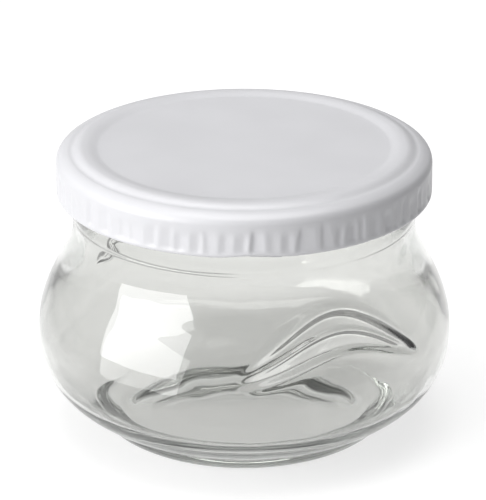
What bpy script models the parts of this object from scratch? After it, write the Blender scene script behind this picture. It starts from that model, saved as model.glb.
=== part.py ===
"""Squat clear glass canning jar with a white twist-off metal lid, empty and closed.

Metres, +Z up. The origin is the middle of the ring that the jar stands on.
Azimuth 0 faces -Y and grows towards +X.
"""

import math

import bmesh
import bpy
import numpy as np
from mathutils import Matrix

MM = 0.001

# Glass: driving sizes in millimetres
FOOT_FLAT_INNER_R = 26.4
FOOT_FLAT_OUTER_R = 29.3
FOOT_TOP_R = 34.4
FOOT_TOP_Z = 4.3
BELLY_R = 47.06
BELLY_Z = 22.0
NECK_R = 38.95
NECK_LOW_Z = 47.8
NECK_LINE_Z = 51.0
NECK_LINE_STEP = 0.25
FINISH_R = 39.3
FINISH_Z = 56.0
RIM_TOP_Z = 63.2
RIM_WALL = 2.6
RIM_ROUND = 0.45
PUSH_UP = 2.2
FLOOR_Z = 6.4
FLOOR_R = 29.0
FLOOR_CROWN = 0.6
GLASS_SIDES = 78

# Outer skin of the shoulder, from the belly up to the neck, as (radius, height)
SHOULDER = [
    (BELLY_R, BELLY_Z),
    (46.75, 27.0),
    (45.2, 32.6),
    (42.6, 38.2),
    (40.9, 41.2),
    (39.6, 44.2),
    (NECK_R, NECK_LOW_Z),
]
SHOULDER_FINENESS = 8

# Swirl pressed into the shoulder, repeated round the jar
SWIRL_COUNT = 2
SWIRL_START_DEG = -2.0
SWIRL_SPAN_DEG = 59.0
SWIRL_DEPTH = 1.9
SWIRL_UPPER = {"start_z": 30.9, "end_z": 28.1, "rise": 12.3, "sharpness": 1.0}
SWIRL_LOWER = {"start_z": 26.7, "end_z": 26.9, "rise": 5.4, "sharpness": 1.6}
SWIRL_LEAN = 1.15
SWIRL_LOWER_WALL = 0.34
SWIRL_UPPER_WALL = 0.26
SWIRL_FADE_IN = 0.42
SWIRL_FADE_OUT = 0.09
ROWS_ACROSS_SWIRL = (0.0, 0.14, 0.34, 0.55, 0.76, 0.9, 1.0)
ROWS_OVER_SWIRL = (0.25, 0.5, 0.75)
GATHER = 0.25

# Twist-off threads on the glass, each a short slanted ridge
THREAD_COUNT = 6
THREAD_SPAN_DEG = 38.0
THREAD_LOW_Z = 58.3
THREAD_HIGH_Z = 60.2
THREAD_HALF_HEIGHT = 0.9
THREAD_CREST_HALF = 0.35
THREAD_OUT = 1.0
THREAD_ROOT = 0.8
THREAD_STEPS = 8
THREAD_END_SHARE = 0.35
THREAD_END_FADE = 5.0

# Lid, in its own level position before it is tilted
LID_R = 42.5
LID_BOTTOM_Z = 55.8
LID_TILT_DEG = 1.0
LID_RING_Z = 65.95
LID_RING_INNER_R = 39.4
LID_BEAD_Z = 66.8
LID_BEAD_R = 36.9
LID_PANEL_Z = 66.35
LID_PANEL_R = 32.9
LID_UNDER_Z = 64.25
LID_INNER_R = 41.4
LID_CURL_R = 41.0
FLUTES = 64
FLUTE_DEPTH = 0.36
FLUTE_LOW_Z = 57.1
FLUTE_HIGH_Z = 62.2
LUG_COUNT = 6
LUG_R = 40.7
LUG_SPAN_DEG = 13.0


def smooth(t):
    """Ease from 0 to 1 with level ends."""
    t = min(max(t, 0.0), 1.0)
    return t * t * (3.0 - 2.0 * t)


def hermite(before, start, end, after, t):
    """Catmull-Rom value between start and end."""
    leave = (end - before) / 2.0
    arrive = (after - start) / 2.0
    t2 = t * t
    t3 = t2 * t
    return (
        (2 * t3 - 3 * t2 + 1) * start
        + (t3 - 2 * t2 + t) * leave
        + (3 * t2 - 2 * t3) * end
        + (t3 - t2) * arrive
    )


def curve_through(points, steps):
    """Points along a smooth curve through a few (radius, height) points."""
    line = []
    for i in range(len(points) - 1):
        before = points[max(i - 1, 0)]
        start = points[i]
        end = points[i + 1]
        after = points[min(i + 2, len(points) - 1)]
        for k in range(steps):
            t = k / steps
            line.append([hermite(before[a], start[a], end[a], after[a], t) for a in (0, 1)])
    line.append(list(points[-1]))
    return line


SHOULDER_LINE = np.array(curve_through(SHOULDER, SHOULDER_FINENESS))


def shoulder_radius(height):
    """Radius of the outer skin between the belly and the neck."""
    return float(np.interp(height, SHOULDER_LINE[:, 1], SHOULDER_LINE[:, 0]))


def swirl_edge(edge, along):
    """Height of one edge of the swirl, at a share of its length."""
    level = edge["start_z"] + (edge["end_z"] - edge["start_z"]) * along
    wave = math.sin(math.pi * along**SWIRL_LEAN)
    return level + edge["rise"] * wave ** edge["sharpness"]


def edge_height(edge, turn):
    """Height of one edge, carried on level from the end of a swirl to the next one's start."""
    if turn < SWIRL_SPAN_DEG:
        return swirl_edge(edge, turn / SWIRL_SPAN_DEG)
    gap = (turn - SWIRL_SPAN_DEG) / (360.0 / SWIRL_COUNT - SWIRL_SPAN_DEG)
    return edge["end_z"] + (edge["start_z"] - edge["end_z"]) * smooth(gap)


def swirl_depth(turn, across):
    """How far the swirl is pressed in, at a place along and across it."""
    along = turn / SWIRL_SPAN_DEG
    if along >= 1.0:
        return 0.0
    walls = smooth(across / SWIRL_LOWER_WALL) * smooth((1.0 - across) / SWIRL_UPPER_WALL)
    ends = smooth(along / SWIRL_FADE_IN) * smooth((1.0 - along) / SWIRL_FADE_OUT)
    return SWIRL_DEPTH * walls * ends


def gathered(azimuth):
    """Bring the sides closer together where the swirls are."""
    middle = SWIRL_START_DEG + SWIRL_SPAN_DEG / 2.0
    wave = math.sin(math.radians(SWIRL_COUNT * (azimuth - middle)))
    return azimuth - math.degrees(GATHER) * wave


def plain_row(radius, height):
    """A row of the surface that is the same all the way round."""
    return lambda azimuth: (radius, height)


def row_across_swirl(share):
    """A row that follows the swirl, at a share of the way from its lower to its upper edge."""

    def place(azimuth):
        turn = (azimuth - SWIRL_START_DEG) % (360.0 / SWIRL_COUNT)
        low = edge_height(SWIRL_LOWER, turn)
        high = edge_height(SWIRL_UPPER, turn)
        height = low + (high - low) * share
        return shoulder_radius(height) - swirl_depth(turn, share), height

    return place


def row_over_swirl(share):
    """A row at a share of the way from the swirl's upper edge to the neck."""

    def place(azimuth):
        turn = (azimuth - SWIRL_START_DEG) % (360.0 / SWIRL_COUNT)
        high = edge_height(SWIRL_UPPER, turn)
        height = high + (NECK_LOW_Z - high) * share
        return shoulder_radius(height), height

    return place


def glass_rows():
    """Rows of the glass, from under the base, up the outside and down the inside."""
    under_base = [
        (0.0, PUSH_UP),
        (13.0, PUSH_UP * 0.93),
        (22.0, PUSH_UP * 0.55),
        (FOOT_FLAT_INNER_R, 0.0),
        (FOOT_FLAT_OUTER_R, 0.0),
    ]
    foot = [(30.8, 0.7), (33.1, 2.4), (FOOT_TOP_R, FOOT_TOP_Z)]
    heel = [(35.6, 4.75), (37.9, 6.3), (40.5, 8.2), (42.8, 10.5)]
    belly = [(45.1, 13.9), (46.5, 17.6), (BELLY_R, BELLY_Z)]
    band_r = NECK_R + NECK_LINE_STEP
    neck = [
        (NECK_R, NECK_LOW_Z),
        (NECK_R, NECK_LINE_Z),
        (band_r, NECK_LINE_Z + NECK_LINE_STEP),
        (band_r, FINISH_Z - 0.6),
        (FINISH_R, FINISH_Z),
    ]
    mouth_r = FINISH_R - RIM_WALL
    rim = [
        (FINISH_R, RIM_TOP_Z - 2.0 * RIM_ROUND),
        (FINISH_R - RIM_ROUND, RIM_TOP_Z - 0.4 * RIM_ROUND),
        (FINISH_R - RIM_WALL / 2.0, RIM_TOP_Z),
        (mouth_r + RIM_ROUND, RIM_TOP_Z - 0.4 * RIM_ROUND),
        (mouth_r, RIM_TOP_Z - 2.0 * RIM_ROUND),
    ]
    inside = [(36.3, 49.0), (36.6, 44.6), (38.2, 39.4), (41.2, 34.0), (44.0, 28.0), (45.1, 21.0), (44.6, 16.2)]
    inner_heel = [(43.2, 13.2), (40.4, 10.6), (36.2, 8.4), (32.6, 7.1), (FLOOR_R, FLOOR_Z)]
    floor = [(0.0, FLOOR_Z + FLOOR_CROWN)]
    return (
        [plain_row(*point) for point in under_base + foot + heel + belly]
        + [row_across_swirl(share) for share in ROWS_ACROSS_SWIRL]
        + [row_over_swirl(share) for share in ROWS_OVER_SWIRL]
        + [plain_row(*point) for point in neck + rim + inside + inner_heel + floor]
    )


def lid_rows():
    """Rows of the lid, from under its panel, down inside the skirt and back over the top."""
    under = [(0.0, LID_UNDER_Z), (LID_INNER_R - 0.7, LID_UNDER_Z), (LID_INNER_R, LID_UNDER_Z - 0.9)]
    curl_top = [(LID_INNER_R, FLUTE_LOW_Z + 0.6)]
    curl_bottom = [(LID_R - 1.0, LID_BOTTOM_Z), (LID_R - 0.2, LID_BOTTOM_Z), (LID_R, LID_BOTTOM_Z + 0.5)]
    above_flutes = [
        (LID_R, LID_RING_Z - 2.6),
        (LID_R - 0.2, LID_RING_Z - 1.6),
        (LID_R - 0.65, LID_RING_Z - 0.8),
        (LID_R - 1.4, LID_RING_Z - 0.25),
        (LID_RING_INNER_R, LID_RING_Z),
    ]
    bead = [
        (LID_BEAD_R + 1.1, LID_BEAD_Z - 0.25),
        (LID_BEAD_R, LID_BEAD_Z),
        (LID_BEAD_R - 1.6, LID_BEAD_Z - 0.06),
    ]
    panel = [(LID_PANEL_R, LID_PANEL_Z), (0.0, LID_PANEL_Z)]
    return (
        [plain_row(*point) for point in under + curl_top]
        + [lug_row(FLUTE_LOW_Z), lug_row(LID_BOTTOM_Z + 0.5)]
        + [plain_row(*point) for point in curl_bottom]
        + [fluted_row(FLUTE_LOW_Z), fluted_row(FLUTE_HIGH_Z)]
        + [plain_row(*point) for point in above_flutes + bead + panel]
    )


def lug_row(height):
    """A row inside the bottom curl, which steps inwards at each lug."""

    def place(azimuth):
        at_lug = azimuth % (360.0 / LUG_COUNT) < LUG_SPAN_DEG
        return (LUG_R if at_lug else LID_CURL_R), height

    return place


def fluted_row(height):
    """A row of the skirt, in and out by the depth of a flute."""

    def place(azimuth):
        side = round(azimuth * FLUTES / 180.0)
        return LID_R - FLUTE_DEPTH * (side % 2), height

    return place


def at_azimuth(radius, azimuth, height):
    """A point in metres from cylindrical millimetres and degrees."""
    angle = math.radians(azimuth)
    return (radius * math.sin(angle) * MM, -radius * math.cos(angle) * MM, height * MM)


def turned(rows, sides, spread=lambda azimuth: azimuth):
    """Closed mesh turned about Z from rows whose first and last points lie on the axis."""
    mesh = bmesh.new()
    row_of = mesh.verts.layers.int.new("row")
    points = []
    for number, row in enumerate(rows):
        point = mesh.verts.new(at_azimuth(row(0.0)[0], 0.0, row(0.0)[1]))
        point[row_of] = number
        points.append(point)
    edges = [mesh.edges.new(pair) for pair in zip(points, points[1:])]
    bmesh.ops.spin(
        mesh,
        geom=points + edges,
        cent=(0, 0, 0),
        axis=(0, 0, 1),
        angle=2.0 * math.pi,
        steps=sides,
    )
    bmesh.ops.remove_doubles(mesh, verts=mesh.verts, dist=0.01 * MM)
    for vert in mesh.verts:
        if vert.co.xy.length > 0.01 * MM:
            azimuth = spread(math.degrees(math.atan2(vert.co.x, -vert.co.y)))
            radius, height = rows[vert[row_of]](azimuth)
            vert.co = at_azimuth(radius, azimuth, height)
    bmesh.ops.recalc_face_normals(mesh, faces=mesh.faces)
    return mesh


def into_object(name, mesh, material, crease_deg):
    """Make a named object from a bmesh, shaded smooth with sharp creases."""
    data = bpy.data.meshes.new(name)
    mesh.to_mesh(data)
    mesh.free()
    data.shade_smooth()
    data.set_sharp_from_angle(angle=math.radians(crease_deg))
    data.materials.append(material)
    item = bpy.data.objects.new(name, data)
    bpy.context.collection.objects.link(item)
    return item


def glass_material():
    """Clear soda-lime glass."""
    material = bpy.data.materials.new("clear_glass")
    material.use_nodes = True
    shader = material.node_tree.nodes["Principled BSDF"]
    shader.inputs["Base Color"].default_value = (0.86, 0.89, 0.86, 1.0)
    shader.inputs["Roughness"].default_value = 0.02
    shader.inputs["IOR"].default_value = 1.52
    shader.inputs["Transmission Weight"].default_value = 1.0
    shader.inputs["Metallic"].default_value = 0.0
    return material


def enamel_material():
    """White enamel baked on tinplate."""
    material = bpy.data.materials.new("white_enamel")
    material.use_nodes = True
    shader = material.node_tree.nodes["Principled BSDF"]
    shader.inputs["Base Color"].default_value = (0.82, 0.82, 0.84, 1.0)
    shader.inputs["Roughness"].default_value = 0.28
    shader.inputs["Metallic"].default_value = 0.0
    return material


def thread_ridge(mesh, first_azimuth):
    """Add one slanted ridge, a swept trapezoid that tapers at both ends, to a bmesh."""
    root = FINISH_R - THREAD_ROOT
    crest = FINISH_R + THREAD_OUT
    section = [
        (root, -THREAD_HALF_HEIGHT),
        (crest, -THREAD_CREST_HALF),
        (crest, THREAD_CREST_HALF),
        (root, THREAD_HALF_HEIGHT),
    ]
    loops = []
    for step in range(THREAD_STEPS + 1):
        along = step / THREAD_STEPS
        middle = THREAD_LOW_Z + (THREAD_HIGH_Z - THREAD_LOW_Z) * along
        azimuth = first_azimuth + THREAD_SPAN_DEG * along
        fade = smooth(min(along, 1.0 - along) * THREAD_END_FADE)
        size = THREAD_END_SHARE + (1.0 - THREAD_END_SHARE) * fade
        loops.append(
            [
                mesh.verts.new(at_azimuth(root + (radius - root) * size, azimuth, middle + lift * size))
                for radius, lift in section
            ]
        )
    for one, other in zip(loops, loops[1:]):
        for k in range(len(section)):
            j = (k + 1) % len(section)
            mesh.faces.new((one[k], one[j], other[j], other[k]))
    mesh.faces.new(loops[0])
    mesh.faces.new(reversed(loops[-1]))


def thread_ridges():
    """All the thread ridges as one guide object."""
    mesh = bmesh.new()
    for number in range(THREAD_COUNT):
        thread_ridge(mesh, number * 360.0 / THREAD_COUNT)
    bmesh.ops.recalc_face_normals(mesh, faces=mesh.faces)
    data = bpy.data.meshes.new("thread_ridges")
    mesh.to_mesh(data)
    mesh.free()
    guide = bpy.data.objects.new("thread_ridges", data)
    bpy.context.collection.objects.link(guide)
    guide.hide_render = True
    guide.display_type = "WIRE"
    return guide


def make_glass_jar():
    """The jar: one blown glass body, open at the mouth, with its threads joined on."""
    mesh = turned(glass_rows(), GLASS_SIDES, gathered)
    jar = into_object("glass_jar", mesh, glass_material(), 40.0)
    union = jar.modifiers.new("threads", "BOOLEAN")
    union.operation = "UNION"
    union.solver = "EXACT"
    union.object = thread_ridges()
    return jar


def make_lid():
    """The lid: pressed metal with a fluted skirt, a bottom curl and inward lugs, its front edge raised."""
    mesh = turned(lid_rows(), 2 * FLUTES)
    bmesh.ops.rotate(
        mesh,
        verts=mesh.verts,
        cent=(0, 0, LID_BOTTOM_Z * MM),
        matrix=Matrix.Rotation(math.radians(-LID_TILT_DEG), 3, "X"),
    )
    return into_object("lid", mesh, enamel_material(), 35.0)


def clear_scene():
    """Remove whatever objects the file opened with."""
    for item in list(bpy.data.objects):
        bpy.data.objects.remove(item, do_unlink=True)


clear_scene()
make_glass_jar()
make_lid()
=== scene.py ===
# %% [markdown]
# # A squat canning jar with a white twist-off lid
#
# The object is an empty preserving jar of clear glass, closed by a white metal lid. The packed
# model gives its true sizes as two plain solids. This lesson gives each of them the surface
# that the eye meets: glass with a real wall, and pressed, enamelled tinplate.

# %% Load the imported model
import math
import random

import bpy
import numpy as np
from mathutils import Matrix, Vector


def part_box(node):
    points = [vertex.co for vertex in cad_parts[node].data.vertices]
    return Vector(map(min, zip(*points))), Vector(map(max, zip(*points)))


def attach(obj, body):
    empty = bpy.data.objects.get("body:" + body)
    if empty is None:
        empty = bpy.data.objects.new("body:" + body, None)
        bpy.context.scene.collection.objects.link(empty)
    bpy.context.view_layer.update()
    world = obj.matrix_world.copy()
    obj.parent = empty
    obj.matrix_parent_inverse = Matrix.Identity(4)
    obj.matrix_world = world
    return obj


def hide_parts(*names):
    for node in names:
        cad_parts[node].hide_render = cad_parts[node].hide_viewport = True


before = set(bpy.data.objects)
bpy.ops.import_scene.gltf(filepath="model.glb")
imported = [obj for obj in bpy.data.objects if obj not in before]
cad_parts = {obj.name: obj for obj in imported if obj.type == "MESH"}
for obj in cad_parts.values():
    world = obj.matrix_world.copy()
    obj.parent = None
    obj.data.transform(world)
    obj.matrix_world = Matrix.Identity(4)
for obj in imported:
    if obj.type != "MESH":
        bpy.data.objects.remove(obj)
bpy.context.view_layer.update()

# %% [markdown]
# ## Sizes
#
# Everything below is written in millimetres, because that is how glassmakers and can makers
# speak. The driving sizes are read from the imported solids, so this file can't drift from them.
# Azimuth is the angle round the jar: 0 faces the camera and it grows towards the right.

# %% Read the driving sizes
MM = 0.001
LID_TILT = math.radians(1.0)


def box_mm(node):
    """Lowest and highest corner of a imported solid, in millimetres."""
    low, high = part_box(node)
    return low / MM, high / MM


jar_low, jar_high = box_mm("glass_jar")
lid_low, lid_high = box_mm("lid")
BELLY_R = jar_high.x - 0.03
RIM_TOP_Z = jar_high.z
LID_R = lid_high.x
LID_BOTTOM_Z = lid_low.z + (LID_R - 0.2) * math.sin(LID_TILT)
BEAD_Z = lid_high.z - 36.9 * math.sin(LID_TILT) - 0.03
print(f"belly radius {BELLY_R:.2f} mm, rim at {RIM_TOP_Z:.2f} mm")
print(f"lid radius {LID_R:.2f} mm, bottom at {LID_BOTTOM_Z:.2f} mm, bead at {BEAD_Z:.2f} mm")

# %% [markdown]
# ## Turning a half section
#
# Both pieces are round, so both start as a half section: a line of points down one side, as a
# draughtsman draws a bottle. It could be a curve with a Screw modifier. Here a single point is
# extruded along the line and spun, because a spin can be finer where the detail is.
#
# The line between the few measured points must bend evenly. Glass shows each jump in its bend as
# a break in the reflections, so the points are joined by a natural cubic spline.


# %% Draw an evenly bending half section
def smooth_step(t):
    """Ease from 0 to 1 with level ends."""
    t = min(max(t, 0.0), 1.0)
    return t * t * (3.0 - 2.0 * t)


def smooth_line(points, spacing, leave=None, arrive=None):
    """Points on a cubic spline through (radius, height) points, with an optional slope at each end."""
    knots = np.array(points, float)
    gaps = np.linalg.norm(np.diff(knots, axis=0), axis=1)
    count = len(knots)
    spacings = spacing if isinstance(spacing, list) else [spacing] * (count - 1)
    if count == 2:
        steps = max(1, round(gaps[0] / spacings[0]))
        return [tuple(knots[0] + (knots[1] - knots[0]) * k / steps) for k in range(steps + 1)]
    system = np.zeros((count, count))
    known = np.zeros((count, 2))
    system[0, 0] = system[-1, -1] = 1.0
    if leave:
        system[0, :2] = 2.0 * gaps[0], gaps[0]
        known[0] = 6.0 * ((knots[1] - knots[0]) / gaps[0] - leave)
    if arrive:
        system[-1, -2:] = gaps[-1], 2.0 * gaps[-1]
        known[-1] = 6.0 * (arrive - (knots[-1] - knots[-2]) / gaps[-1])
    for i in range(1, count - 1):
        system[i, i - 1:i + 2] = gaps[i - 1], 2.0 * (gaps[i - 1] + gaps[i]), gaps[i]
        known[i] = 6.0 * ((knots[i + 1] - knots[i]) / gaps[i] - (knots[i] - knots[i - 1]) / gaps[i - 1])
    bend = np.linalg.solve(system, known)
    line = []
    for i, gap in enumerate(gaps):
        steps = max(1, round(gap / spacings[i]))
        for k in range(steps):
            after = gap * k / steps
            before = gap - after
            curved = (bend[i] * before**3 + bend[i + 1] * after**3) / (6.0 * gap)
            start = (knots[i] / gap - bend[i] * gap / 6.0) * before
            end = (knots[i + 1] / gap - bend[i + 1] * gap / 6.0) * after
            line.append(tuple(curved + start + end))
    line.append(tuple(knots[-1]))
    return line


def at(radius, azimuth, height):
    """A place in metres from millimetres and degrees."""
    angle = math.radians(azimuth)
    return Vector((radius * math.sin(angle), -radius * math.cos(angle), height)) * MM


def azimuth_of(place):
    """Degrees from the camera's side towards the right."""
    return math.degrees(math.atan2(place.x, -place.y))


# %% Spin it round the jar's axis
def clear_selection():
    """Leave edit mode and deselect everything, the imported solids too."""
    if bpy.context.object and bpy.context.object.mode == "EDIT":
        bpy.ops.object.mode_set(mode="OBJECT")
    bpy.ops.object.select_all(action="DESELECT")


def turn_piece(name, line, first_azimuth, sectors):
    """Spin a half section through sectors of (degrees, steps) into one closed piece."""
    clear_selection()
    bpy.ops.mesh.primitive_plane_add(size=MM, location=(0, 0, 0))
    piece = bpy.context.object
    piece.name = name
    bpy.ops.object.mode_set(mode="EDIT")
    bpy.ops.mesh.select_all(action="SELECT")
    bpy.ops.mesh.merge(type="CENTER")
    place = at(line[0][0], first_azimuth, line[0][1])
    bpy.ops.transform.translate(value=place)
    for radius, height in line[1:]:
        step = at(radius, first_azimuth, height) - place
        bpy.ops.mesh.extrude_vertices_move(TRANSFORM_OT_translate={"value": step})
        place = place + step
    bpy.ops.mesh.select_all(action="SELECT")
    for degrees, steps in sectors:
        bpy.ops.mesh.spin(steps=steps, angle=-math.radians(degrees), center=(0, 0, 0), axis=(0, 0, 1))
    bpy.ops.mesh.select_all(action="SELECT")
    bpy.ops.mesh.remove_doubles(threshold=0.002 * MM)
    bpy.ops.mesh.normals_make_consistent(inside=False)
    bpy.ops.object.mode_set(mode="OBJECT")
    bpy.ops.object.shade_smooth()
    print(f"{name}: {len(line)} rows, {len(piece.data.polygons)} faces")
    return piece


# %% [markdown]
# ## Pressing relief into a wall
#
# The swirl, the threads, the lid's flutes and its lugs are all relief on a turned wall. Each could
# be cut with a Boolean, but pressed and blown relief has no cut edges. So every point of the wall
# gets a weight from 0 to 1, and a Displace modifier moves it along its normal by that weight.


# %% One function for all relief
def faces_out(vertex):
    """True on an outer skin: its normal points away from the axis."""
    return vertex.normal.x * vertex.co.x + vertex.normal.y * vertex.co.y > 0.0


def press(piece, name, weight_at, depth, outer=True, texture=None, direction="NORMAL"):
    """Move the outer, the inner or (None) both skins by depth in mm times a weight."""
    group = piece.vertex_groups.new(name=name)
    touched = 0
    for vertex in piece.data.vertices:
        if outer is None or faces_out(vertex) == outer:
            weight = weight_at(vertex.co.xy.length / MM, azimuth_of(vertex.co), vertex.co.z / MM)
            if weight > 0.0:
                group.add([vertex.index], min(weight, 1.0), "REPLACE")
                touched += 1
    modifier = piece.modifiers.new(name, "DISPLACE")
    modifier.vertex_group = name
    modifier.mid_level = 0.5 if texture else 0.0
    modifier.texture = texture
    modifier.direction = direction
    modifier.strength = depth * MM
    bpy.context.view_layer.objects.active = piece
    bpy.ops.object.modifier_apply(modifier=name)
    piece.vertex_groups.remove(piece.vertex_groups[name])
    print(f"{name}: {touched} points moved by up to {abs(depth):.2f} mm")


# %% [markdown]
# ## The glass
#
# A jar like this is blown in a mould. The mould fixes the outside, and the inside is only as
# even as the air left it: thick at the shoulder and the heel, thin at the belly. Clear glass is
# drawn by its two surfaces together, so the wall is modelled in full, inside and outside.

# %% Half section of the glass
UP = (0.0, 1.0)
DOWN = (0.0, -1.0)
IN = (-1.0, 0.0)
OUT = (1.0, 0.0)
under_base = smooth_line([(0.0, 2.2), (13.0, 2.05), (22.0, 1.2), (26.4, 0.0)], 1.6, leave=OUT)
foot = smooth_line([(29.3, 0.0), (30.8, 0.7), (33.1, 2.4), (34.4, 4.3)], 0.5)
body = smooth_line([(34.9, 4.45), (37.9, 6.3), (40.5, 8.2), (42.8, 10.5), (45.1, 13.9), (46.5, 17.6),
                    (BELLY_R, 22.0), (46.75, 27.0), (45.2, 32.6), (42.6, 38.2), (40.9, 41.2),
                    (39.6, 44.2), (38.95, 47.8), (38.95, 51.0)],
                   [0.6] * 6 + [0.4, 0.27, 0.27, 0.27, 0.3, 0.6, 0.6], arrive=UP)
band = smooth_line([(39.2, 51.25), (39.25, 53.5), (39.2, 55.4), (39.3, 56.0)], 0.8)
finish = smooth_line([(39.3, 56.4), (39.3, 61.6)], 0.4)
rim = smooth_line([(39.3, 62.0), (38.95, 62.85), (38.0, RIM_TOP_Z), (37.05, 62.85), (36.7, 62.0)], 0.3,
                  leave=UP, arrive=DOWN)
inside = smooth_line([(36.3, 55.5), (36.25, 49.0), (36.6, 44.6), (38.2, 39.4), (41.2, 34.0), (44.0, 28.0),
                      (45.2, 21.0), (44.3, 15.8), (42.3, 12.4), (39.2, 9.8), (35.4, 7.9), (31.2, 6.6),
                      (26.6, 5.8), (18.0, 5.0), (0.0, 4.6)], [0.7] * 12 + [1.5, 2.2], arrive=IN)
glass_line = under_base + foot + body + band + finish + rim + inside
print(f"glass half section: {len(glass_line)} points")

# %% Spin the glass, finer where the swirls go
SWIRL_START = -2.0
SWIRL_SPAN = 59.0
SWIRL_COUNT = 2
swirl_pitch = 360.0 / SWIRL_COUNT
FINE_MARGIN = 2.5
fine_span = SWIRL_SPAN + 2.0 * FINE_MARGIN
sectors = [(fine_span, 96), (swirl_pitch - fine_span, 62)] * SWIRL_COUNT
jar = turn_piece("jar_glass", glass_line, SWIRL_START - FINE_MARGIN, sectors)

# %% [markdown]
# ### The swirl
#
# A long S-shaped hollow is pressed into the shoulder by the mould, with a thin rib along its
# middle. The inner wall follows the outer one only softly, as blown glass does. The photo shows one
# swirl, and the second one on the hidden side, half a turn away, is a guess.

# %% Press the swirl
SWIRL_DEPTH = 1.9
INNER_SHARE = 0.35
RIB_AT = 0.55
UPPER_EDGE = {"start": 30.9, "end": 28.1, "rise": 12.3, "sharpness": 1.0}
LOWER_EDGE = {"start": 26.7, "end": 26.9, "rise": 5.4, "sharpness": 1.6}


def edge_height(edge, along):
    """Height of one edge of the swirl at a share of its length."""
    wave = math.sin(math.pi * along**1.15)
    return edge["start"] + (edge["end"] - edge["start"]) * along + edge["rise"] * wave ** edge["sharpness"]


def swirl_weight(azimuth, height, lower_wall, upper_wall, rib, spill):
    """How deep a point lies in the hollow, from 0 to 1, with its walls and rib in millimetres."""
    turn = (azimuth - SWIRL_START) % swirl_pitch
    if turn > SWIRL_SPAN:
        return 0.0
    along = turn / SWIRL_SPAN
    low = edge_height(LOWER_EDGE, along) - spill
    wide = edge_height(UPPER_EDGE, along) + spill - low
    up = height - low
    if up <= 0.0 or up >= wide:
        return 0.0
    lower_wall, upper_wall = min(lower_wall, wide / 2.0), min(upper_wall, wide / 2.0)
    walls = smooth_step(up / lower_wall) * smooth_step((wide - up) / upper_wall)
    height_share = smooth_step(1.4 * up / wide)
    start = (1.0 - height_share) * smooth_step(along / 0.16) + height_share * smooth_step(along / 0.4)
    ends = start * smooth_step((1.0 - along) / 0.1) * smooth_step(wide / 4.0)
    ridge = rib * math.exp(-(((up - RIB_AT * wide) / 0.55) ** 2)) * smooth_step(wide / 8.0)
    return walls * ends * (1.0 - ridge)


press(jar, "outer_swirl", lambda r, a, z: swirl_weight(a, z, 2.1, 1.5, 0.34, 0.0), -SWIRL_DEPTH)
press(jar, "inner_swirl", lambda r, a, z: swirl_weight(a, z, 5.0, 5.0, 0.0, 2.5),
      SWIRL_DEPTH * INNER_SHARE, outer=False)

# %% [markdown]
# ### The threads
#
# A twist-off finish has short slanted ridges that the lid's lugs ride on, and no full thread.

# %% Raise the threads
THREAD_COUNT = 6
THREAD_SPAN = 38.0


def thread_weight(radius, azimuth, height):
    """How far a point stands out on a thread ridge, from 0 to 1."""
    if radius < 38.9 or height < 57.0:
        return 0.0
    along = (azimuth % (360.0 / THREAD_COUNT)) / THREAD_SPAN
    if along >= 1.0:
        return 0.0
    off = abs(height - 58.3 - 1.9 * along)
    return smooth_step((1.0 - off) / 0.6) * smooth_step(5.0 * min(along, 1.0 - along))


press(jar, "threads", thread_weight, 1.0)

# %% [markdown]
# ### The uneven inside
#
# Where air shaped the glass it is never quite even. A cloud texture could be a bump in the material,
# but real swells bend the light that passes through, so the inner skin itself is moved. They fade
# out towards the neck and the floor.

# %% Swell the inner skin
SWELL = 0.16
swells = bpy.data.textures.new("inner_swells", "CLOUDS")
swells.noise_scale = 0.0075
swells.noise_depth = 1
press(jar, "inner_swells",
      lambda r, a, z: smooth_step((54.0 - z) / 8.0) * smooth_step((z - 6.0) / 14.0),
      SWELL, outer=False, texture=swells)

# %% [markdown]
# ## The lid
#
# A twist-off lid is one disc of tinplate, drawn, beaded and curled in a press. Its panel lies a
# little lower than the bead round it, and outside the bead a soft shoulder runs down to the skirt.
# In the photo the lid sits a degree askew, with its front edge raised.

# %% Half section of the lid
METAL = 0.4
ring_z = BEAD_Z - 0.85
panel_z = BEAD_Z - 0.45
curl_r = 0.72
over_panel = smooth_line([(0.0, panel_z), (31.8, panel_z)], 4.0)
over_bead = smooth_line([(32.7, panel_z + 0.01), (33.7, panel_z + 0.14), (35.0, BEAD_Z - 0.07),
                         (36.2, BEAD_Z), (37.0, BEAD_Z - 0.05), (38.0, BEAD_Z - 0.4),
                         (38.9, ring_z + 0.02), (39.35, ring_z - 0.06)], 0.27, leave=OUT)
over_shoulder = smooth_line([(39.6, ring_z - 0.07), (40.4, ring_z - 0.3), (41.3, ring_z - 0.75),
                             (41.9, ring_z - 1.2), (42.3, ring_z - 1.85), (LID_R, ring_z - 2.8)], 0.27,
                            leave=(0.98, -0.2), arrive=DOWN)
down_skirt = smooth_line([(LID_R, ring_z - 3.3), (LID_R, LID_BOTTOM_Z + curl_r + 0.3)], 0.5)
curl = []
for degrees in range(0, 271, 15):
    turn = math.radians(degrees)
    curl.append((LID_R - curl_r + curl_r * math.cos(turn), LID_BOTTOM_Z + curl_r - curl_r * math.sin(turn)))
skirt_in_r = LID_R - METAL
up_inside = smooth_line([(skirt_in_r, LID_BOTTOM_Z + 1.7), (skirt_in_r, ring_z - 3.0)], 0.6)
under_shoulder = smooth_line([(skirt_in_r - 0.05, ring_z - 2.4), (41.5, ring_z - 1.2), (40.7, ring_z - 0.6),
                              (39.4, ring_z - METAL)], 0.5)
under_panel = smooth_line([(38.4, BEAD_Z - 0.38 - METAL), (36.6, BEAD_Z - METAL),
                           (35.0, BEAD_Z - METAL - 0.05), (33.0, panel_z - METAL),
                           (31.0, panel_z - METAL)], 0.6)
under_middle = smooth_line([(30.0, panel_z - METAL), (0.0, panel_z - METAL)], 3.2)
lid_line = over_panel + over_bead + over_shoulder + down_skirt + curl + up_inside + under_shoulder
lid_line = lid_line + under_panel + under_middle
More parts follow.
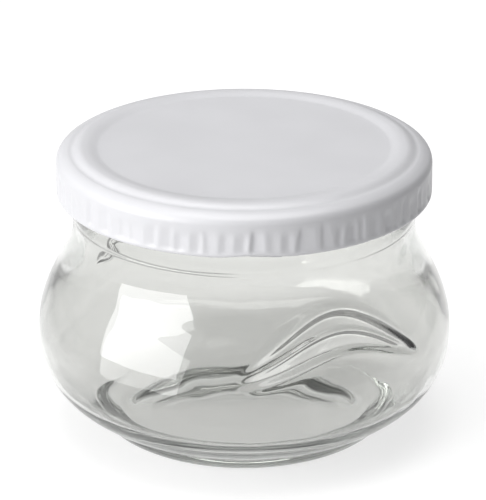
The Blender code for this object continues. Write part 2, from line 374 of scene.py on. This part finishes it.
lid = turn_piece("lid_shell", lid_line, 0.0, [(360.0, 760)])

# %% [markdown]
# ### The flutes
#
# The skirt is fluted for grip. Thin metal is gathered there, so the folds are V-shaped and no two
# are alike: each gets its own place, width, depth, lean and length.

# %% Flute the skirt
random.seed(82)
FLUTE_COUNT = 76
FLUTE_DEPTH = 0.5
FLUTE_TOP = ring_z - 2.3
FLUTE_BOTTOM = LID_BOTTOM_Z + 0.6
flute_pitch = 360.0 / FLUTE_COUNT
flutes = []
for number in range(FLUTE_COUNT):
    flutes.append({
        "azimuth": (number + random.uniform(-0.27, 0.27)) * flute_pitch,
        "depth": random.uniform(0.25, 1.0),
        "width": random.uniform(0.3, 0.62) * flute_pitch,
        "lean": random.uniform(-0.9, 0.9),
        "fold": random.uniform(-0.55, 0.55),
        "top": random.uniform(0.0, 0.22),
        "taper": random.uniform(-0.3, 0.5),
    })


def flute_weight(radius, azimuth, height):
    """How deep a point of the skirt lies in a flute, from 0 to 1."""
    up = (height - FLUTE_BOTTOM) / (FLUTE_TOP - FLUTE_BOTTOM)
    if radius < LID_R - METAL - 0.1 or up <= 0.0 or up >= 1.0:
        return 0.0
    deepest = 0.0
    first = int(azimuth // flute_pitch)
    for number in range(first - 1, first + 3):
        flute = flutes[number % FLUTE_COUNT]
        wide = flute["width"] * (1.0 + flute["taper"] * (0.5 - up))
        off = (azimuth - flute["azimuth"] - flute["lean"] * (up - 0.5) + 180.0) % 360.0 - 180.0
        bottom = flute["fold"] * wide
        side = (wide + bottom) if off < bottom else (wide - bottom)
        share = abs(off - bottom) / side
        ends = smooth_step(up / 0.14) * smooth_step((1.0 - flute["top"] - up) / 0.36)
        deepest = max(deepest, flute["depth"] * ends * max(0.0, 1.0 - share**1.4))
    return deepest


press(lid, "flutes", flute_weight, -FLUTE_DEPTH)
press(lid, "flutes_inside", flute_weight, FLUTE_DEPTH, outer=False)

# %% [markdown]
# ### Lugs and the sprung edge
#
# The curl is pinched inwards in six places, and these lugs grip the threads. In the
# photo a dark gap shows under the edge a little right of the front, so the edge is lifted there.

# %% Press the lugs in
LUG_SPAN = 13.0
LUG_COUNT = 6


def lug_weight(radius, azimuth, height):
    """How far a point of the bottom curl is pressed in at a lug, from 0 to 1."""
    turn = azimuth % (360.0 / LUG_COUNT)
    if height > LID_BOTTOM_Z + 1.6 or radius > LID_R - 0.5 or turn > LUG_SPAN:
        return 0.0
    return smooth_step(5.0 * min(turn, LUG_SPAN - turn) / LUG_SPAN)


press(lid, "lugs", lug_weight, 0.4, outer=False)

# %% Lift the edge where it is sprung
SPRUNG_AZIMUTH = 3.0
SPRUNG_REACH = 13.0
SPRUNG_LIFT = 0.55


def sprung_weight(radius, azimuth, height):
    """How far the edge is lifted a little right of the front, from 0 to 1."""
    low = smooth_step((LID_BOTTOM_Z + 4.0 - height) / 3.5)
    return low * smooth_step(1.0 - abs(azimuth - SPRUNG_AZIMUTH) / SPRUNG_REACH)


press(lid, "sprung_edge", sprung_weight, SPRUNG_LIFT, outer=None, direction="Z")

# %% Set the lid askew
clear_selection()
lid.select_set(True)
bpy.context.view_layer.objects.active = lid
bpy.ops.object.mode_set(mode="EDIT")
bpy.ops.mesh.select_all(action="SELECT")
bpy.ops.transform.rotate(value=LID_TILT, orient_axis="X", center_override=(0.0, 0.0, LID_BOTTOM_Z * MM))
bpy.ops.object.mode_set(mode="OBJECT")
front_z = max(v.co.z for v in lid.data.vertices if v.co.y < -0.036) / MM
back_z = max(v.co.z for v in lid.data.vertices if v.co.y > 0.036) / MM
print(f"lid top at the front {front_z:.2f} mm, at the back {back_z:.2f} mm")

# %% [markdown]
# ## Finishes
#
# Colours are written as the hex values that a picture shows, and one function turns them to the
# linear values that a shader works in. One small function adds a node.


# %% Node and colour helpers
def linear(hex_colour):
    """Linear RGBA from an sRGB hex colour."""
    channels = [int(hex_colour[i:i + 2], 16) / 255.0 for i in (1, 3, 5)]
    return tuple(c / 12.92 if c <= 0.04045 else ((c + 0.055) / 1.055) ** 2.4 for c in channels) + (1.0,)


def add_node(tree, kind, settings=None, links=None):
    """Add a node, set its properties or sockets by name, and link (node, socket) into its sockets."""
    made = tree.nodes.new(kind)
    for name, value in (settings or {}).items():
        if isinstance(name, int) or name in made.inputs:
            made.inputs[name].default_value = value
        else:
            setattr(made, name, value)
    for socket, (source, output) in (links or {}).items():
        tree.links.new(source.outputs[output], made.inputs[socket])
    return made


def new_material(name):
    """An empty material with its tree and output."""
    material = bpy.data.materials.new(name)
    material.use_nodes = True
    tree = material.node_tree
    tree.nodes.clear()
    return material, tree, add_node(tree, "ShaderNodeOutputMaterial")


# %% Soda-lime glass
# Fire-polished soda-lime glass: clear, IOR 1.52. Each skin takes about 15% of the light. That is more
# than real glass takes, and was fitted to the photo's mid greys over a floor that shows white. The
# slight grey-green that grows with the depth of glass is in the volume, as losses per metre for
# red, green and blue.
glass, tree, output = new_material("soda_lime_glass_blown")
GLASS_LOSS = 6.0
coords = add_node(tree, "ShaderNodeTexCoord")
ripple = add_node(tree, "ShaderNodeTexNoise", {"Scale": 160.0, "Detail": 2.0, "Roughness": 0.4},
                  {"Vector": (coords, "Object")})
bump = add_node(tree, "ShaderNodeBump", {"Strength": 0.05, "Distance": 0.0002}, {"Height": (ripple, 0)})
haze = add_node(tree, "ShaderNodeTexNoise", {"Scale": 420.0, "Detail": 4.0}, {"Vector": (coords, "Object")})
polish = add_node(tree, "ShaderNodeMapRange",
                  {"From Min": 0.55, "From Max": 0.8, "To Min": 0.0, "To Max": 0.02}, {"Value": (haze, 0)})
shader = add_node(tree, "ShaderNodeBsdfPrincipled",
                  {"Base Color": (0.845, 0.847, 0.833, 1.0), "IOR": 1.52, "Transmission Weight": 1.0},
                  {"Normal": (bump, 0), "Roughness": (polish, 0)})
density = GLASS_LOSS * 1.12 / 0.9
tint = tuple(1.0 - GLASS_LOSS * share / density for share in (1.1, 1.0, 1.09)) + (1.0,)
absorb = add_node(tree, "ShaderNodeVolumeAbsorption", {"Color": tint, "Density": density})
tree.links.new(shader.outputs[0], output.inputs["Surface"])
tree.links.new(absorb.outputs[0], output.inputs["Volume"])
jar.data.materials.clear()
jar.data.materials.append(glass)

# %% White enamel on tinplate
# Sprayed and baked white enamel: satin gloss with a fine orange peel about 0.4 mm across, a faint
# cloudiness where the coat is thicker, and a cool white.
enamel, tree, output = new_material("white_baked_enamel_on_tinplate")
coords = add_node(tree, "ShaderNodeTexCoord")
peel = add_node(tree, "ShaderNodeTexNoise", {"Scale": 2400.0, "Detail": 2.0}, {"Vector": (coords, "Object")})
dents = add_node(tree, "ShaderNodeTexNoise", {"Scale": 90.0, "Detail": 1.0}, {"Vector": (coords, "Object")})
fine = add_node(tree, "ShaderNodeBump", {"Strength": 0.12, "Distance": 0.00005}, {"Height": (peel, 0)})
bump = add_node(tree, "ShaderNodeBump", {"Strength": 0.1, "Distance": 0.0003},
                {"Height": (dents, 0), "Normal": (fine, 0)})
coat = add_node(tree, "ShaderNodeTexNoise", {"Scale": 55.0, "Detail": 3.0}, {"Vector": (coords, "Object")})
colour = add_node(tree, "ShaderNodeValToRGB", None, {"Fac": (coat, 0)})
colour.color_ramp.elements[0].position = 0.3
colour.color_ramp.elements[0].color = linear("#CDCDD0")
colour.color_ramp.elements[1].position = 0.7
colour.color_ramp.elements[1].color = linear("#D1D1D4")
sheen = add_node(tree, "ShaderNodeMapRange",
                 {"From Min": 0.3, "From Max": 0.7, "To Min": 0.3, "To Max": 0.38}, {"Value": (coat, 0)})
shader = add_node(tree, "ShaderNodeBsdfPrincipled", {"IOR": 1.5},
                  {"Base Color": (colour, 0), "Roughness": (sheen, 0), "Normal": (bump, 0)})
tree.links.new(shader.outputs[0], output.inputs["Surface"])
lid.data.materials.clear()
lid.data.materials.append(enamel)

# %% White food lacquer under the lid
# The inside of the lid isn't seen in the photo. A white, glossier lacquer is assumed, as such lids
# have to keep food off the metal. It throws light back into the jar.
lacquer, tree, output = new_material("white_food_lacquer_on_tinplate")
coords = add_node(tree, "ShaderNodeTexCoord")
flow = add_node(tree, "ShaderNodeTexNoise", {"Scale": 120.0, "Detail": 2.0}, {"Vector": (coords, "Object")})
bump = add_node(tree, "ShaderNodeBump", {"Strength": 0.1, "Distance": 0.0001}, {"Height": (flow, 0)})
shader = add_node(tree, "ShaderNodeBsdfPrincipled",
                  {"Base Color": linear("#F2F2F0"), "Roughness": 0.25, "IOR": 1.5}, {"Normal": (bump, 0)})
tree.links.new(shader.outputs[0], output.inputs["Surface"])
lid.data.materials.append(lacquer)

# %% Bare tinplate inside the skirt, dark as painted shade
# The lacquer stops at the skirt. Its inside is plain tinned steel, a real finish, but its dark grey is also
# painted shade:
# it stands in for the shade in the narrow gap round the glass and draws the thin dark line under the lid's
# edge.
gap_shade_tinplate, tree, output = new_material("bare_rolled_tinplate_painted_gap_shade")
coords = add_node(tree, "ShaderNodeTexCoord")
rolled = add_node(tree, "ShaderNodeTexNoise", {"Scale": 700.0, "Detail": 3.0}, {"Vector": (coords, "Object")})
dull = add_node(tree, "ShaderNodeMapRange",
                {"From Min": 0.3, "From Max": 0.7, "To Min": 0.3, "To Max": 0.5}, {"Value": (rolled, 0)})
shader = add_node(tree, "ShaderNodeBsdfPrincipled", {"Base Color": linear("#8E8E8C"), "Metallic": 1.0},
                  {"Roughness": (dull, 0)})
tree.links.new(shader.outputs[0], output.inputs["Surface"])
lid.data.materials.append(gap_shade_tinplate)
LACQUER_R = (LID_R - 2.0) * MM
GAP_SHADE_TOP_Z = (LID_BOTTOM_Z + 6.0) * MM
for face in lid.data.polygons:
    radius = face.center.xy.length
    if face.normal.z < -0.5 and radius < LACQUER_R:
        face.material_index = 1
    # Inner skirt faces near the edge take the dark tinplate: painted shade in the gap round the glass.
    elif face.normal.xy.dot(face.center.xy) < -0.3 * radius and face.center.z < GAP_SHADE_TOP_Z:
        face.material_index = 2

# %% Tell the frame what each piece stands for
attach(jar, "root")
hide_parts("glass_jar")
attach(lid, "root")
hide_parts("lid")

# %% [markdown]
# ## The studio
#
# Glass shows what is round it more than itself, so the room is part of the picture: a floor with a painted
# glow under and behind the jar, a window-shaped softbox at the left, and a dark side at the right.

# %% Floor
# The jar stands on white acrylic that glows like a light table, as glass is photographed. The glow is painted
# light
# in the floor, not a lamp: it is brightest in an oval under and behind the jar and fades towards the sides
# and the front as painted shade, so the glass has something bright to look at and dark edges all round.
clear_selection()
bpy.ops.mesh.primitive_plane_add(size=6.0, location=(0, 0, -0.0001))
floor = bpy.context.object
floor.name = "studio_floor"
acrylic, tree, output = new_material("white_acrylic_painted_glow")
coords = add_node(tree, "ShaderNodeTexCoord")
grain = add_node(tree, "ShaderNodeTexNoise", {"Scale": 900.0, "Detail": 3.0}, {"Vector": (coords, "Object")})
bump = add_node(tree, "ShaderNodeBump", {"Strength": 0.05, "Distance": 0.0001}, {"Height": (grain, 0)})
middle = add_node(tree, "ShaderNodeVectorMath", {"operation": "SUBTRACT", 1: (0.0, 0.11, 0.0)},
                  {0: (coords, "Object")})
reach = add_node(tree, "ShaderNodeVectorMath", {"operation": "DIVIDE", 1: (0.13, 0.24, 1.0)},
                 {0: (middle, 0)})
away = add_node(tree, "ShaderNodeVectorMath", {"operation": "LENGTH"}, {0: (reach, 0)})
# Painted light: the floor's emission is strongest in an oval behind the jar and fades outwards as painted
# shade.
painted_glow = add_node(tree, "ShaderNodeMapRange",
                {"interpolation_type": "SMOOTHSTEP", "From Min": 0.8, "From Max": 1.6, "To Min": 0.70,
                 "To Max": 0.1}, {"Value": (away, "Value")})
shader = add_node(tree, "ShaderNodeBsdfPrincipled",
                  {"Base Color": linear("#A6A6A6"), "Roughness": 0.9, "Emission Color": (1.0, 1.0, 1.0, 1.0)},
                  {"Normal": (bump, 0), "Emission Strength": (painted_glow, 0)})
tree.links.new(shader.outputs[0], output.inputs["Surface"])
floor.data.materials.append(acrylic)

# %% Dark flag on the right
# A grey felt panel stands far out on the right, as glass photographers place one. It takes the sky
# light from that side, so the lid gets darker towards the right.
clear_selection()
FLAG_SIZE = (4.0, 2.4)
bpy.ops.mesh.primitive_plane_add(size=1.0, location=(1.9, 0.1, FLAG_SIZE[1] / 2.0),
                                 rotation=(0.0, -math.pi / 2.0, 0.0))
flag = bpy.context.object
flag.name = "grey_flag"
flag.dimensions = (FLAG_SIZE[1], FLAG_SIZE[0], 0.0)
bpy.ops.object.transform_apply(location=True, rotation=True, scale=True)
felt, tree, output = new_material("grey_wool_felt")
coords = add_node(tree, "ShaderNodeTexCoord")
fibres = add_node(tree, "ShaderNodeTexNoise", {"Scale": 300.0, "Detail": 4.0}, {"Vector": (coords, "Object")})
bump = add_node(tree, "ShaderNodeBump", {"Strength": 0.4, "Distance": 0.001}, {"Height": (fibres, 0)})
shader = add_node(tree, "ShaderNodeBsdfPrincipled", {"Base Color": linear("#38383A"), "Roughness": 1.0},
                  {"Normal": (bump, 0)})
tree.links.new(shader.outputs[0], output.inputs["Surface"])
flag.data.materials.append(felt)

# %% Lights
def softbox(name, azimuth, elevation, distance, size, radiance):
    """A rectangular area light that faces the jar, as bright as its radiance says."""
    angle = math.radians(azimuth)
    rise = math.radians(elevation)
    away = Vector((math.sin(angle) * math.cos(rise), -math.cos(angle) * math.cos(rise), math.sin(rise)))
    data = bpy.data.lights.new(name, "AREA")
    data.shape = "RECTANGLE"
    data.size, data.size_y = size
    data.energy = radiance * math.pi * size[0] * size[1]
    light = bpy.data.objects.new(name, data)
    bpy.context.scene.collection.objects.link(light)
    light.location = Vector((0, 0, 0.04)) + away * distance
    light.rotation_euler = away.to_track_quat("Z", "Y").to_euler()
    return light


softbox("window_softbox", -60.0, 16.0, 1.5, (1.37, 0.975), 5.2)
softbox("overhead_softbox", 0.0, 90.0, 1.3, (1.0, 1.0), 3.1)
softbox("high_left_softbox", -60.0, 60.0, 1.3, (1.0, 1.0), 1.1)
SKY_STRENGTH = 0.34
world = bpy.data.worlds.new("studio")
world.use_nodes = True
sky = world.node_tree.nodes["Background"]
sky.inputs["Color"].default_value = (1, 1, 1, 1)
sky.inputs["Strength"].default_value = SKY_STRENGTH
bpy.context.scene.world = world
cycles = bpy.context.scene.cycles
cycles.max_bounces = 32
cycles.transmission_bounces = 32
cycles.glossy_bounces = 12
cycles.diffuse_bounces = 6

# %% Camera
CAMERA_DISTANCE = 1.044
CAMERA_PITCH = 23.12
ORBIT_Z = 0.0325
FOCAL_PX = 4573.0
IMAGE_HEIGHT_PX = 500.0
AIM = Vector((-0.00026, 0.0, 0.0410))
camera_data = bpy.data.cameras.new("camera")
camera_data.sensor_width = 36.0
camera_data.lens = FOCAL_PX / IMAGE_HEIGHT_PX * camera_data.sensor_width
camera = bpy.data.objects.new("camera", camera_data)
bpy.context.scene.collection.objects.link(camera)
pitch = math.radians(CAMERA_PITCH)
camera.location = Vector((0.0, -CAMERA_DISTANCE * math.cos(pitch),
                          ORBIT_Z + CAMERA_DISTANCE * math.sin(pitch)))
camera.rotation_euler = (camera.location - AIM).to_track_quat("Z", "Y").to_euler()
bpy.context.scene.camera = camera
bpy.context.scene.view_settings.view_transform = "Standard"
